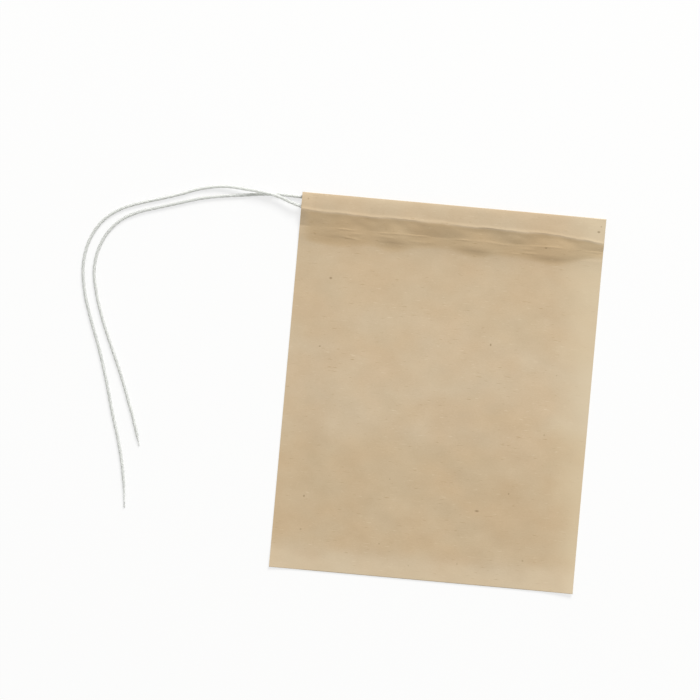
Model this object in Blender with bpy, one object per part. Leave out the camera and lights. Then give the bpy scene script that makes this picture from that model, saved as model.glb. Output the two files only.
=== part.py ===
"""Drawstring tea filter bag: a flat, empty pocket of unbleached filter paper, with a cotton string in
each hem of its open mouth.

Metres, +Z up. The bag lies on its back on z = 0, with its mouth towards +Y and the free tails of its
strings on its left, -X. The origin is the middle of the bag's underside.

The paper is one sheet. Followed from edge to edge, it goes up the front flap inside the mouth, over the
top fold, down the front ply, round the bottom fold, up the back ply and over into the back flap. That
line is worked out at a row of stations across the bag, given the paper's thickness, and joined from
station to station. The heat seals are fillings that weld one ply to the next.
"""

import bpy
import numpy as np

MM = 0.001

# The bag, laid flat
BAG_WIDTH = 81.0 * MM
BAG_HEIGHT = 100.0 * MM
PAPER = 0.12 * MM
POCKET_ROOM = 1.1 * MM
BOTTOM_FOLD_ROOM = 0.4 * MM
MOUTH_ROOM = 0.15 * MM

# The hems, measured down from the top folds
HEM_DEPTH = 11.5 * MM
HEM_SEAL_WIDTH = 2.9 * MM
FRONT_FOLD_ROOM = 0.45 * MM
HEM_RUNOUT = 7.0 * MM
RIDGE_ROUNDING = 1.4

# The heat seals
SIDE_SEAL_WIDTH = 4.0 * MM
SEALED_ROOM = 0.05 * MM
SIDE_RISE_WIDTH = 9.0 * MM
BOTTOM_RISE_LENGTH = 24.0 * MM
STRING_GRIP_WIDTH = 1.2 * MM

# The strings
STRING_DIAMETER = 0.88 * MM
STRING_CLEARANCE = 0.1 * MM
STRING_LIFT_OFF_TABLE = 0.02 * MM
STRING_POINT_SPACING = 3.0 * STRING_DIAMETER
STEPS_PER_ROUTE_POINT = 40

# Each string in its hem: distance in from the left edge as a share of the width, and drop below the
# top fold as a share of the way down to the hem's seal
FRONT_HEM_ROUTE = [
    (0.97, 0.733), (0.93, 0.674), (0.88, 0.628), (0.76, 0.628), (0.64, 0.628),
    (0.52, 0.605), (0.40, 0.558), (0.27, 0.535), (0.14, 0.512), (0.05, 0.500),
]
BACK_HEM_ROUTE = [
    (0.97, 0.256), (0.86, 0.233), (0.70, 0.198), (0.52, 0.198), (0.34, 0.221),
    (0.17, 0.198), (0.05, 0.163),
]

# Each free tail: x and y from the bag's top left corner, and height of the string's middle
TABLE = STRING_DIAMETER / 2 + STRING_LIFT_OFF_TABLE
OVER_A_STRING = TABLE + STRING_DIAMETER + STRING_CLEARANCE
FRONT_TAIL_ROUTE = [
    (-2.5 * MM, -3.4 * MM, 1.78 * MM), (-6.0 * MM, -2.3 * MM, 1.65 * MM),
    (-10.5 * MM, -1.4 * MM, OVER_A_STRING), (-15.0 * MM, -0.7 * MM, OVER_A_STRING),
    (-20.6 * MM, -0.4 * MM, 1.0 * MM), (-27.2 * MM, -1.6 * MM, TABLE),
    (-32.4 * MM, -3.5 * MM, TABLE), (-37.6 * MM, -5.2 * MM, TABLE),
    (-42.8 * MM, -6.8 * MM, TABLE), (-47.9 * MM, -8.9 * MM, TABLE),
    (-51.9 * MM, -12.0 * MM, TABLE), (-54.9 * MM, -16.8 * MM, TABLE),
    (-56.3 * MM, -23.8 * MM, TABLE), (-55.4 * MM, -31.2 * MM, TABLE),
    (-52.9 * MM, -39.0 * MM, TABLE), (-50.0 * MM, -46.7 * MM, TABLE),
    (-47.5 * MM, -54.5 * MM, TABLE), (-45.3 * MM, -62.3 * MM, TABLE),
    (-42.9 * MM, -70.1 * MM, TABLE), (-41.0 * MM, -77.9 * MM, TABLE),
    (-39.8 * MM, -86.6 * MM, TABLE),
]
BACK_TAIL_ROUTE = [
    (-1.9 * MM, -1.3 * MM, 0.63 * MM), (-6.0 * MM, -1.2 * MM, 0.5 * MM),
    (-10.5 * MM, -1.5 * MM, TABLE), (-15.3 * MM, -2.2 * MM, TABLE),
    (-20.5 * MM, -2.9 * MM, TABLE), (-27.1 * MM, -4.2 * MM, TABLE),
    (-32.3 * MM, -5.8 * MM, TABLE), (-37.4 * MM, -7.4 * MM, TABLE),
    (-42.6 * MM, -9.1 * MM, TABLE), (-47.0 * MM, -11.4 * MM, TABLE),
    (-50.4 * MM, -15.0 * MM, TABLE), (-52.6 * MM, -19.8 * MM, TABLE),
    (-53.3 * MM, -25.4 * MM, TABLE), (-52.2 * MM, -31.5 * MM, TABLE),
    (-50.0 * MM, -38.2 * MM, TABLE), (-47.1 * MM, -45.1 * MM, TABLE),
    (-44.0 * MM, -52.1 * MM, TABLE), (-41.2 * MM, -59.3 * MM, TABLE),
    (-39.1 * MM, -65.0 * MM, TABLE), (-37.6 * MM, -69.9 * MM, TABLE),
]

# Resolution of the sheet. Rows close to the string are in diameters below it, and those of the hem's
# run-out are shares of its length.
STATIONS_BETWEEN_SEALS = 17
FOLD_STEPS = 5
ROWS_ABOVE_STRING = 3
ROWS_AT_STRING = (-1.2, -0.5, 0.0, 0.4, 0.9, 1.8)
ROWS_OF_RUNOUT = (0.15, 0.4, 0.7, 1.0)
POCKET_ROWS = 9

# Colours, as linear RGB
KRAFT_TAN = (0.604, 0.479, 0.314, 1.0)
COTTON_WHITE = (0.80, 0.79, 0.74, 1.0)

# Sizes that follow from those above
HALF_WIDTH = BAG_WIDTH / 2
TOP = BAG_HEIGHT / 2
STRING_ROOM = STRING_DIAMETER + 2 * STRING_CLEARANCE
HEM_SEAL_TOP = HEM_DEPTH - HEM_SEAL_WIDTH
FRONT_FOLD_RADIUS = (FRONT_FOLD_ROOM + PAPER) / 2
BACK_FOLD_RADIUS = (STRING_ROOM + PAPER) / 2
STRING_STOP = HALF_WIDTH - STRING_GRIP_WIDTH - STRING_CLEARANCE


def ease(share):
    """Rise from 0 to 1 as share goes from 0 to 1, level at both ends: 3 s squared less 2 s cubed."""
    share = np.clip(share, 0.0, 1.0)
    return share * share * (3.0 - 2.0 * share)


def smooth_route(points, spacing):
    """Points an even spacing apart on a smooth curve through a route's own points.

    Each stretch is a cubic. Its slope at a point is that of the parabola through the point and its two
    neighbours, so neighbouring stretches meet without a kink.
    """
    points = np.array(points)
    along = np.concatenate(([0.0], np.cumsum(np.linalg.norm(np.diff(points, axis=0), axis=1))))
    slopes = np.gradient(points, along, axis=0, edge_order=2)
    at = np.linspace(0.0, along[-1], STEPS_PER_ROUTE_POINT * len(points))
    stretch = np.clip(np.searchsorted(along, at, side="right") - 1, 0, len(points) - 2)
    run = (along[stretch + 1] - along[stretch])[:, None]
    u = (at - along[stretch])[:, None] / run
    fine = ((1 + 2 * u) * (1 - u) ** 2 * points[stretch] + u ** 2 * (3 - 2 * u) * points[stretch + 1]
            + u * (1 - u) ** 2 * run * slopes[stretch] - u ** 2 * (1 - u) * run * slopes[stretch + 1])
    length = np.concatenate(([0.0], np.cumsum(np.linalg.norm(np.diff(fine, axis=0), axis=1))))
    even = np.linspace(0.0, length[-1], int(round(length[-1] / spacing)) + 1)
    return np.column_stack([np.interp(even, length, fine[:, axis]) for axis in range(3)])


def pocket_share(x):
    """0 in the side seals and 1 in the middle of the bag, with an eased rise between."""
    return ease((HALF_WIDTH - SIDE_SEAL_WIDTH - abs(x)) / SIDE_RISE_WIDTH)


def mouth_room(x):
    """Clear height between the two flaps."""
    return SEALED_ROOM + (MOUTH_ROOM - SEALED_ROOM) * pocket_share(x)


def string_drop(route, x):
    """How far below the top fold a string lies at x."""
    across, down = np.array(route[::-1]).T
    return np.interp(x, (across - 0.5) * BAG_WIDTH, down * HEM_SEAL_TOP)


def front_drop(x):
    """How far below the top fold the front string lies at x."""
    return string_drop(FRONT_HEM_ROUTE, x)


def back_drop(x):
    """How far below the top fold the back string lies at x."""
    return string_drop(BACK_HEM_ROUTE, x)


def back_channel_room(x, drop):
    """Clear height in the back hem: as high as its string needs from the fold to the string, and from
    there a slope down to the hem's seal."""
    crest = back_drop(x) + STRING_DIAMETER / 2
    slope = 1.0 - ease((drop - crest) / (HEM_SEAL_TOP - crest))
    return SEALED_ROOM + (STRING_ROOM - SEALED_ROOM) * slope


def back_ply_height(x, drop):
    """Middle of the back ply, which lies flat on the table at every x and drop."""
    return np.full(np.shape(drop), PAPER / 2)


def back_flap_height(x, drop):
    """Middle of the back flap, over the back ply and its string."""
    return back_ply_height(x, drop) + PAPER + back_channel_room(x, drop)


def front_flap_height(x, drop):
    """Middle of the front flap, across the mouth from the back flap."""
    return back_flap_height(x, drop) + PAPER + mouth_room(x)


def front_hem_height(x, drop):
    """Middle of the front ply over its hem: it rises from the fold to a ridge over the string, and
    falls from there to the seal, slowly at first and straight from there."""
    fold_drop = FRONT_FOLD_RADIUS + PAPER / 2
    ridge_drop = front_drop(x)
    fold = front_flap_height(x, fold_drop) + PAPER + FRONT_FOLD_ROOM
    ridge = front_flap_height(x, ridge_drop) + PAPER + STRING_ROOM
    seal = front_flap_height(x, HEM_SEAL_TOP) + PAPER + SEALED_ROOM
    rise = fold + (ridge - fold) * ease((drop - fold_drop) / (ridge_drop - fold_drop))
    past_ridge = ridge_drop + STRING_DIAMETER / 4
    share = np.clip((drop - past_ridge) / (HEM_SEAL_TOP - past_ridge), 0.0, 1.0)
    fall = seal + (ridge - seal) * (1.0 - share ** RIDGE_ROUNDING)
    return np.where(drop < ridge_drop, rise, fall)


def front_pocket_height(x, drop):
    """Middle of the front ply over the pocket, which is pressed flat in the side seals and low at the
    bottom fold."""
    fold_room = SEALED_ROOM + (BOTTOM_FOLD_ROOM - SEALED_ROOM) * pocket_share(x)
    full_room = SEALED_ROOM + (POCKET_ROOM - SEALED_ROOM) * pocket_share(x)
    room = fold_room + (full_room - fold_room) * ease((BAG_HEIGHT - drop) / BOTTOM_RISE_LENGTH)
    return back_ply_height(x, drop) + PAPER + room


def front_ply_height(x, drop):
    """Middle of the front ply, from its hem to its pocket."""
    hem = front_hem_height(x, np.minimum(drop, HEM_DEPTH))
    pocket = front_pocket_height(x, drop)
    return hem + (pocket - hem) * ease((drop - HEM_DEPTH) / HEM_RUNOUT)


def bottom_fold_radius(x):
    """Radius of the bottom fold's middle line, which joins the two plies at x."""
    return (front_ply_height(x, BAG_HEIGHT) - back_ply_height(x, BAG_HEIGHT)) / 2


def hem_drops(x, fold_radius):
    """Rows of the hem from the fold's tangent down to the raw edge, close together at the string."""
    near_string = front_drop(x) + STRING_DIAMETER * np.array(ROWS_AT_STRING)
    above = np.linspace(fold_radius + PAPER / 2, near_string[0], ROWS_ABOVE_STRING + 1)[:-1]
    seal = np.array([HEM_SEAL_TOP, HEM_DEPTH])
    return np.concatenate((above, near_string, seal))


def pocket_drops(x):
    """Rows of a ply below the hem, down to the bottom fold's tangent."""
    runout = HEM_DEPTH + HEM_RUNOUT * np.array(ROWS_OF_RUNOUT)
    bottom = BAG_HEIGHT - PAPER / 2 - bottom_fold_radius(x)
    return np.concatenate((runout, np.linspace(runout[-1], bottom, POCKET_ROWS + 1)[1:]))


def fold_points(low, high, down_the_bag):
    """Half a circle of (drop, height) points between a low and a high point, the ends left out. It
    bulges down the bag at 1 and up the bag at -1."""
    middle = (low + high) / 2
    radius = (high[1] - low[1]) / 2
    angles = np.linspace(-np.pi / 2, np.pi / 2, FOLD_STEPS + 2)[1:-1]
    return middle + radius * np.column_stack((down_the_bag * np.cos(angles), np.sin(angles)))


def sheet_line(x):
    """The sheet's middle line at x, as named runs of (drop, height) points from raw edge to raw edge."""
    front = hem_drops(x, FRONT_FOLD_RADIUS)
    back = hem_drops(x, BACK_FOLD_RADIUS)
    front_all = np.append(front, pocket_drops(x))
    back_all = np.append(back, pocket_drops(x))
    front_flap = np.column_stack((front, front_flap_height(x, front)))
    front_ply = np.column_stack((front_all, front_ply_height(x, front_all)))
    back_ply = np.column_stack((back_all, back_ply_height(x, back_all)))
    back_flap = np.column_stack((back, back_flap_height(x, back)))
    return {
        "front_flap": front_flap[::-1],
        "front_fold": fold_points(front_flap[0], front_ply[0], -1),
        "front_ply": front_ply,
        "bottom_fold": fold_points(back_ply[-1], front_ply[-1], 1)[::-1],
        "back_ply": back_ply[::-1],
        "back_fold": fold_points(back_ply[0], back_flap[0], -1),
        "back_flap": back_flap,
    }


def thick_line(points):
    """Both faces of the paper along a middle line: each point moved half the paper's thickness to
    either side, along the bisector of the two stretches that meet there."""
    stretches = np.diff(points, axis=0)
    stretches /= np.linalg.norm(stretches, axis=1)[:, None]
    normals = np.column_stack((-stretches[:, 1], stretches[:, 0]))
    before = np.concatenate((normals[:1], normals))
    after = np.concatenate((normals, normals[-1:]))
    bisectors = (before + after) / (1.0 + np.sum(before * after, axis=1))[:, None]
    return points - bisectors * PAPER / 2, points + bisectors * PAPER / 2


def sheet_stations():
    """Places across the bag where the sheet's line is worked out."""
    inner = HALF_WIDTH - SIDE_SEAL_WIDTH
    return np.concatenate((
        [-HALF_WIDTH], np.linspace(-inner, inner, STATIONS_BETWEEN_SEALS),
        [HALF_WIDTH - STRING_GRIP_WIDTH, HALF_WIDTH],
    ))


def sheet_points():
    """Every point of the paper's two faces, station by station, row by row, outer face first."""
    stations = []
    for x in sheet_stations():
        drops_and_heights = np.concatenate(list(sheet_line(x).values()))
        line = np.column_stack((TOP - drops_and_heights[:, 0], drops_and_heights[:, 1]))
        faces = np.stack(thick_line(line), axis=1).reshape(-1, 2)
        stations.append(np.column_stack((np.full(len(faces), x), faces)))
    return np.concatenate(stations)


def up_the_bag(name, face):
    """Numbers, within a station, of the points of one run of the sheet on one face of the paper, in
    order from the bottom of the bag to its top. Face 1 is the inside of the sheet's folds."""
    start = 0
    for run, points in sheet_line(0.0).items():
        if run == name:
            break
        start += len(points)
    rows = np.arange(start, start + len(points))
    if run in ("front_ply", "back_flap"):
        rows = rows[::-1]
    return 2 * rows + face


def filling_rings(under, over):
    """Rings that fill the room between two plies, row by row."""
    return [list(ring) for ring in zip(under[:-1], under[1:], over[1:], over[:-1])]


def solid_rings():
    """The bag's section as rings of point numbers, each with the first and last station it spans.

    The first ones are the paper itself, and the rest are the heat seals: the two hems, the two sides,
    and the grip on the right ends of the strings.
    """
    rows = sum(len(points) for points in sheet_line(0.0).values())
    last = len(sheet_stations()) - 1
    paper = [[2 * row, 2 * row + 2, 2 * row + 3, 2 * row + 1] for row in range(rows - 1)]

    front_flap, back_flap = up_the_bag("front_flap", 1), up_the_bag("back_flap", 1)
    front_ply, back_ply = up_the_bag("front_ply", 1), up_the_bag("back_ply", 1)
    front_lip, back_lip = up_the_bag("front_flap", 0), up_the_bag("back_flap", 0)
    hem_rows = len(front_flap)
    front_hem = filling_rings(front_flap, front_ply[-hem_rows:])
    back_hem = filling_rings(back_ply[-hem_rows:], back_flap)
    front_fold = [[front_ply[-1], front_flap[-1], *up_the_bag("front_fold", 1)]]
    back_fold = [[back_flap[-1], back_ply[-1], *up_the_bag("back_fold", 1)]]

    mouth = filling_rings(back_lip, front_lip)
    raw_edges = [back_flap[0], back_lip[0], front_lip[0], front_flap[0]]
    below_raw_edges = [[*back_ply[-hem_rows - 1:][:2], *raw_edges, *front_ply[-hem_rows - 1:][:2][::-1]]]
    pocket = filling_rings(back_ply[:-hem_rows], front_ply[:-hem_rows])
    bottom_fold = [[front_ply[0], *up_the_bag("bottom_fold", 1), back_ply[0]]]

    spans = [(ring, (0, last)) for ring in paper + front_hem[:1] + back_hem[:1]]
    for side in ((0, 1), (last - 2, last)):
        spans += [(ring, side) for ring in mouth + below_raw_edges + pocket + bottom_fold]
    grip = (last - 1, last)
    spans += [(ring, grip) for ring in front_hem[1:] + back_hem[1:] + front_fold + back_fold]
    return spans


def solid_faces():
    """Outer faces of the solid that the rings sweep out from station to station. A face that two of
    its blocks share lies inside, and is left out."""
    width = 2 * sum(len(points) for points in sheet_line(0.0).values())
    faces = {}
    for ring, (first, last) in solid_rings():
        for station in range(first, last):
            near = [station * width + int(point) for point in ring]
            far = [point + width for point in near]
            sides = zip(near, near[1:] + near[:1], far[1:] + far[:1], far)
            for face in [near[::-1], far, *sides]:
                key = frozenset(face)
                if key in faces:
                    del faces[key]
                else:
                    faces[key] = list(face)
    return list(faces.values())


def new_material(name, colour, roughness):
    """A Principled material of one colour."""
    material = bpy.data.materials.new(name)
    material.use_nodes = True
    shader = material.node_tree.nodes["Principled BSDF"]
    shader.inputs["Base Color"].default_value = colour
    shader.inputs["Roughness"].default_value = roughness
    shader.inputs["Metallic"].default_value = 0.0
    return material


def new_object(name, data, material=None):
    """Put a mesh or a curve in the scene as an object."""
    item = bpy.data.objects.new(name, data)
    bpy.context.scene.collection.objects.link(item)
    if material:
        data.materials.append(material)
    return item


def make_paper_bag(material):
    """The folded and sealed sheet, as one body."""
    mesh = bpy.data.meshes.new("paper_bag")
    mesh.from_pydata(sheet_points().tolist(), [], solid_faces())
    mesh.update()
    return new_object("paper_bag", mesh, material)


def channel_points(hem_route, floor_height):
    """A string's points in its hem, from its caught end to the mouth of the channel."""
    across, down = np.array(hem_route).T
    xs = np.minimum((across - 0.5) * BAG_WIDTH, STRING_STOP)
    return [
        (x, TOP - drop, floor_height(x, drop) + PAPER / 2 + STRING_CLEARANCE + STRING_DIAMETER / 2)
        for x, drop in zip(xs, down * HEM_SEAL_TOP)
    ]


def tail_points(tail_route):
    """A string's points outside the bag."""
    return [(x - HALF_WIDTH, y + TOP, height) for x, y, height in tail_route]


def make_string(name, points, material):
    """A round string along a smooth route, with flat cut ends."""
    route = smooth_route(points, STRING_POINT_SPACING)
    route[:, 2] = np.maximum(route[:, 2], TABLE)
    curve = bpy.data.curves.new(name, "CURVE")
    curve.dimensions = "3D"
    curve.fill_mode = "FULL"
    curve.bevel_depth = STRING_DIAMETER / 2
    curve.bevel_resolution = 2
    curve.use_fill_caps = True
    spline = curve.splines.new("POLY")
    spline.points.add(len(route) - 1)
    spline.points.foreach_set("co", np.column_stack((route, np.ones(len(route)))).ravel())
    return new_object(name, curve, material)


def main():
    """Clear the scene and build the bag and its two strings."""
    for item in list(bpy.data.objects):
        bpy.data.objects.remove(item, do_unlink=True)
    paper = new_material("unbleached_filter_paper", KRAFT_TAN, 0.9)
    cotton = new_material("white_cotton_string", COTTON_WHITE, 0.9)
    make_paper_bag(paper)
    front = channel_points(FRONT_HEM_ROUTE, front_flap_height) + tail_points(FRONT_TAIL_ROUTE)
    back = channel_points(BACK_HEM_ROUTE, back_ply_height) + tail_points(BACK_TAIL_ROUTE)
    make_string("front_string", front, cotton)
    make_string("back_string", back, cotton)


main()
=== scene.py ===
"""Drawstring tea filter bag, laid out as a Blender add-on and run as a script.

Metres, +Z up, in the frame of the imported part: the bag lies on its back on z = 0 with its mouth towards
+Y, and the free tails of its strings lie on its left, -X. The origin is the middle of its underside.
"Drop" is the distance down the bag from the fold at its mouth. Widths in a bell are half widths.
"""

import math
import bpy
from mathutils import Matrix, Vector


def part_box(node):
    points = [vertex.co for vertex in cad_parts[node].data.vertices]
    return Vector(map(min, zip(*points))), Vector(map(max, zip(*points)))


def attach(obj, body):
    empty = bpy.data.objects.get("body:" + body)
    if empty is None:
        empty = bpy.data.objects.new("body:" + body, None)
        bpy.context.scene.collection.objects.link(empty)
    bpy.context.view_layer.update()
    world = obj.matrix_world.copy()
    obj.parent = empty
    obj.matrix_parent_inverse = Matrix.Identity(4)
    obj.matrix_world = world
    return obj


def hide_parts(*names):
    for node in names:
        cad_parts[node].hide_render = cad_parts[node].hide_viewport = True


bl_info = {
    "name": "Drawstring tea filter bag",
    "version": (1, 0, 0),
    "blender": (4, 5, 0),
    "location": "View3D > Sidebar > Tea Bag",
    "description": "A folded bag of unbleached filter paper with a cotton string in each hem",
    "category": "Object",
}

import bpy
import numpy as np
from mathutils import Vector

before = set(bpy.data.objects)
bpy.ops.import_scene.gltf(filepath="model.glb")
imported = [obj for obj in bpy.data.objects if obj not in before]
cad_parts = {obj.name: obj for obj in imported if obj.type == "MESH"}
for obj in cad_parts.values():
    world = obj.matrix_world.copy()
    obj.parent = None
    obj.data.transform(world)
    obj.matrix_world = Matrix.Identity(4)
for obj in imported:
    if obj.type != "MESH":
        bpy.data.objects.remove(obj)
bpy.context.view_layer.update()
BAG_LOW, BAG_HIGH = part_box("paper_bag")
BAG_WIDTH = BAG_HIGH.x - BAG_LOW.x
BAG_HEIGHT = BAG_HIGH.y - BAG_LOW.y
TOP = BAG_HIGH.y
HALF_WIDTH = BAG_WIDTH / 2

MM = 0.001

# The folded sheet: its length, its grid, and the clear heights between its layers
STATIONS = 128
FOLD_STEPS = 9
SEALED_ROOM = 0.012 * MM
MOUTH_ROOM = 0.05 * MM
FRONT_FOLD_ROOM = 0.2 * MM
BOTTOM_FOLD_ROOM = 0.15 * MM
# The pocket: where it rises from the side seals and the bottom fold, and where it is highest
SIDE_RISE = 10.0 * MM
PRESSED_BOTTOM = 5.0 * MM
PUFF_MIDDLE = 0.58
# The front ply over the hem: its rise from the fold, the ridge over the string, and its run-out below
FOLD_RISE = 0.9 * MM
PLATEAU_SAG = 0.10 * MM
RIDGE_HEIGHT = 0.12 * MM
RIDGE_ABOVE = 0.42 * MM
RIDGE_BELOW = 1.9 * MM
UNDER_RIDGE = 0.10 * MM
CREASE_FOOT = 0.12 * MM
HEM_RUNOUT = 8.0 * MM
RUNOUT_BEND = 2.8 * MM
# The gape of the mouth: its height, the drops between which it ends, and how much sooner at the right
HEM_LIFT = 0.50 * MM
LIFT_FALLS = 8.7 * MM
LIFT_ENDS = 12.2 * MM
SIDE_SHIFT = 1.3 * MM

# Each string in its hem: distance in from the left edge as a share of the width, and drop below the
# fold as a share of the way down to the hem's seal
CHANNEL_DEPTH = 8.6 * MM
FRONT_HEM_ROUTE = [
    (0.97, 0.745), (0.93, 0.700), (0.88, 0.655), (0.76, 0.622), (0.64, 0.610),
    (0.52, 0.600), (0.40, 0.572), (0.27, 0.575), (0.14, 0.560), (0.05, 0.535),
]
BACK_HEM_ROUTE = [
    (0.97, 0.256), (0.86, 0.233), (0.70, 0.198), (0.52, 0.198), (0.34, 0.221),
    (0.17, 0.198), (0.05, 0.163),
]

# Each free tail in millimetres: x and y from the bag's top left corner, and height of its middle
TABLE = 0.46
OVER_A_STRING = 1.44
FRONT_TAIL_ROUTE = [
    (-2.5, -3.2, 1.85), (-6.0, -1.9, 1.66), (-10.5, -1.05, 1.50), (-15.0, -0.65, OVER_A_STRING),
    (-20.6, -0.4, 1.0), (-27.2, -1.6, TABLE), (-32.4, -3.5, TABLE), (-37.6, -5.2, TABLE),
    (-42.8, -6.8, TABLE), (-47.9, -8.9, TABLE), (-51.9, -12.0, TABLE), (-54.9, -16.8, TABLE),
    (-56.3, -23.8, TABLE), (-55.4, -31.2, TABLE), (-52.9, -39.0, TABLE), (-50.0, -46.7, TABLE),
    (-47.5, -54.5, TABLE), (-45.3, -62.3, TABLE), (-42.9, -70.1, TABLE), (-41.0, -77.9, TABLE),
    (-39.8, -86.6, TABLE),
]
BACK_TAIL_ROUTE = [
    (-1.9, -1.3, 0.58), (-6.0, -1.2, 0.5), (-10.5, -1.5, TABLE), (-15.3, -2.2, TABLE),
    (-20.5, -2.9, TABLE), (-27.1, -4.2, TABLE), (-32.3, -5.8, TABLE), (-37.4, -7.4, TABLE),
    (-42.6, -9.1, TABLE), (-47.0, -11.4, TABLE), (-50.4, -15.0, TABLE), (-52.6, -19.8, TABLE),
    (-53.3, -25.4, TABLE), (-52.2, -31.5, TABLE), (-50.0, -38.2, TABLE), (-47.1, -45.1, TABLE),
    (-44.0, -52.1, TABLE), (-41.2, -59.3, TABLE), (-39.1, -65.0, TABLE), (-37.6, -69.9, TABLE),
]
STRING_DIAMETER = 0.88 * MM
STRING_CLEARANCE = 0.02 * MM

# The yarn: a ply's radius as a share of the string's, points round it, and the step along its route
PLY_RADIUS = 0.78
YARN_COLUMNS = 24
YARN_STEP = 0.22 * MM
# Its loose fibres: a hair's thickness, a tuft fibre's thickness, and how many a tuft has
HAIR_THICKNESS = 0.03 * MM
TUFT_THICKNESS = 0.08 * MM
TUFT_FIBRES = 34

# Soft waves. Each is a list of height, length along x, length along y or the drop, and seed. Lengths are
# in millimetres, and so are the heights, but for those of the breaks and the lift, which are shares.
WAVE_TERMS = 7
RIDGE_KINKS = [(0.09, 9.0, 1.0, 17), (0.04, 3.3, 1.0, 18)]
CREASE_BREAKS = [(0.75, 13.0, 1.0, 4), (0.4, 3.1, 1.0, 9)]
CREASE_BENDS = [(0.16, 11.0, 1.0, 12)]
SEAL_WAVES = [(0.018, 9.0, 1.8, 21)]
LIFT_WAVES = [(0.07, 19.0, 1.0, 25)]
SLOPE_WAVES = [(0.035, 6.0, 2.2, 33)]
PLATEAU_WAVES = [(0.03, 16.0, 6.0, 41)]
POCKET_WAVES = [(0.10, 34.0, 26.0, 52), (0.035, 13.0, 9.0, 57)]
# Uneven border of the paler bands of seals and folds, with painted light along the right side
PRESSED_AND_LIT_BORDER = [(1.0, 12.0, 14.0, 63)]
# Uneven border of the painted shade
PAINTED_SHADE_BORDER = [(1.0, 24.0, 16.0, 77)]

# Marks of folding and packing in millimetres. A bulge on the slope below the string: x, height, width.
SLOPE_BULGES = [
    (-26.0, -0.05, 4.0), (-14.0, -0.12, 3.2), (-4.0, 0.18, 4.5), (9.5, -0.16, 5.5), (17.5, 0.08, 3.5),
    (28.0, -0.12, 7.0),
]
# A place where the hem's seal swells, so that the paper puckers below its raw edge: x, height, width
PUCKERS = [(-31.0, 0.18, 8.0), (-15.2, 0.40, 4.2), (6.5, 0.42, 4.4), (27.5, 0.37, 6.6)]
# The crease along the seal's top: height and width. A short crease: x and drop of both ends, height.
TOP_CREASE = (0.045, 0.24)
SHORT_CREASE_WIDTH = 0.26
SHORT_CREASES = [
    (-29.1, 10.8, -24.2, 11.4, 0.08), (-26.5, 10.0, -23.8, 9.8, 0.06), (-11.0, 10.5, -7.8, 10.5, 0.06),
    (15.8, 11.5, 18.4, 11.3, 0.07), (18.7, 10.0, 23.2, 9.9, 0.06), (18.9, 10.8, 23.0, 10.9, 0.06),
    (-19.0, 9.9, -15.0, 10.1, 0.04),
]
# A lower corner that stands off the table: its side, where its rise starts, how fast it rises
LIFTED_CORNERS = [(1.0, 52.0, 0.006), (-1.0, 54.0, 0.005)]
# A dark speck in the paper: x and y in the part's frame, length across the bag, height
SPECKS = [
    (38.8, 46.4, 0.75, 0.50), (25.2, 40.9, 0.60, 0.30), (-31.0, 27.9, 0.70, 0.50),
    (-32.3, 9.6, 0.55, 0.30), (12.9, 14.0, 0.38, 0.60), (-10.6, -23.9, 0.30, 0.20),
    (21.2, -25.0, 0.35, 0.35), (-32.9, -30.4, 0.40, 0.55), (13.2, -30.3, 1.00, 0.48),
    (-11.9, -41.3, 0.40, 0.20), (9.2, -44.8, 0.35, 0.20),
]

# Noises in the paper: marks to a millimetre along x, y and z, detail, and turn in radians.
PAPER_NOISES = {
    # Clouds of thicker and thinner pulp, 5 mm across, and patches of a slightly redder tan, 14 mm
    "clouds": ((0.17, 0.24, 0.24), 4.0, 0.0),
    "patches": ((0.06, 0.085, 0.085), 2.0, 0.0),
    # Bundles of fibre 1.5 to 3 mm long and 0.3 mm thick, coarser than single fibres so that they show
    "bundles": ((0.42, 3.1, 3.1), 1.5, 0.0),
    "grain": ((1.9, 3.2, 3.2), 2.0, 0.0),
    # Fibres 0.2 mm thick that cross at three angles, coarser than the real 0.03 mm so that they show
    "fibres": ((0.7, 5.0, 5.0), 1.0, 0.1),
    "steep fibres": ((0.7, 5.0, 5.0), 1.0, 1.15),
    "falling fibres": ((0.7, 5.0, 5.0), 1.0, -0.95),
}

# The picture
PICTURE_WIDTH = 185.9 * MM
PICTURE_MIDDLE = (-24.2 * MM, 9.3 * MM)
PICTURE_TURN = math.radians(5.15)
SENSOR_WIDTH_MM = 36.0

# The light: the key lamp's place as a turn from +Y towards +X, a height angle and a distance in metres,
# and the share of the table's colour that is plain white to the camera
KEY_TURN = math.radians(16.5)
KEY_HEIGHT = math.radians(37.0)
KEY_DISTANCE = 4.0
KEY_SIZE = 1.57
TABLE_GLOW = 0.72
TABLE_REACH = 3.0


def linear(code):
    """The linear RGBA colour of an sRGB hex code: each channel c becomes c / 12.92 up to 0.04045, and
    ((c + 0.055) / 1.055) to the power 2.4 above."""
    channels = [int(code[start:start + 2], 16) / 255 for start in (1, 3, 5)]
    return tuple(c / 12.92 if c <= 0.04045 else ((c + 0.055) / 1.055) ** 2.4 for c in channels) + (1.0,)


def length(name, description, metres):
    """A setting that holds a length."""
    return bpy.props.FloatProperty(
        name=name, description=description, default=metres, subtype="DISTANCE", unit="LENGTH")


def tint(name, description, code):
    """A setting that holds a colour, from its sRGB hex code."""
    return bpy.props.FloatVectorProperty(
        name=name, description=description, default=linear(code), subtype="COLOR", size=4, min=0.0, max=1.0)


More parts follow.
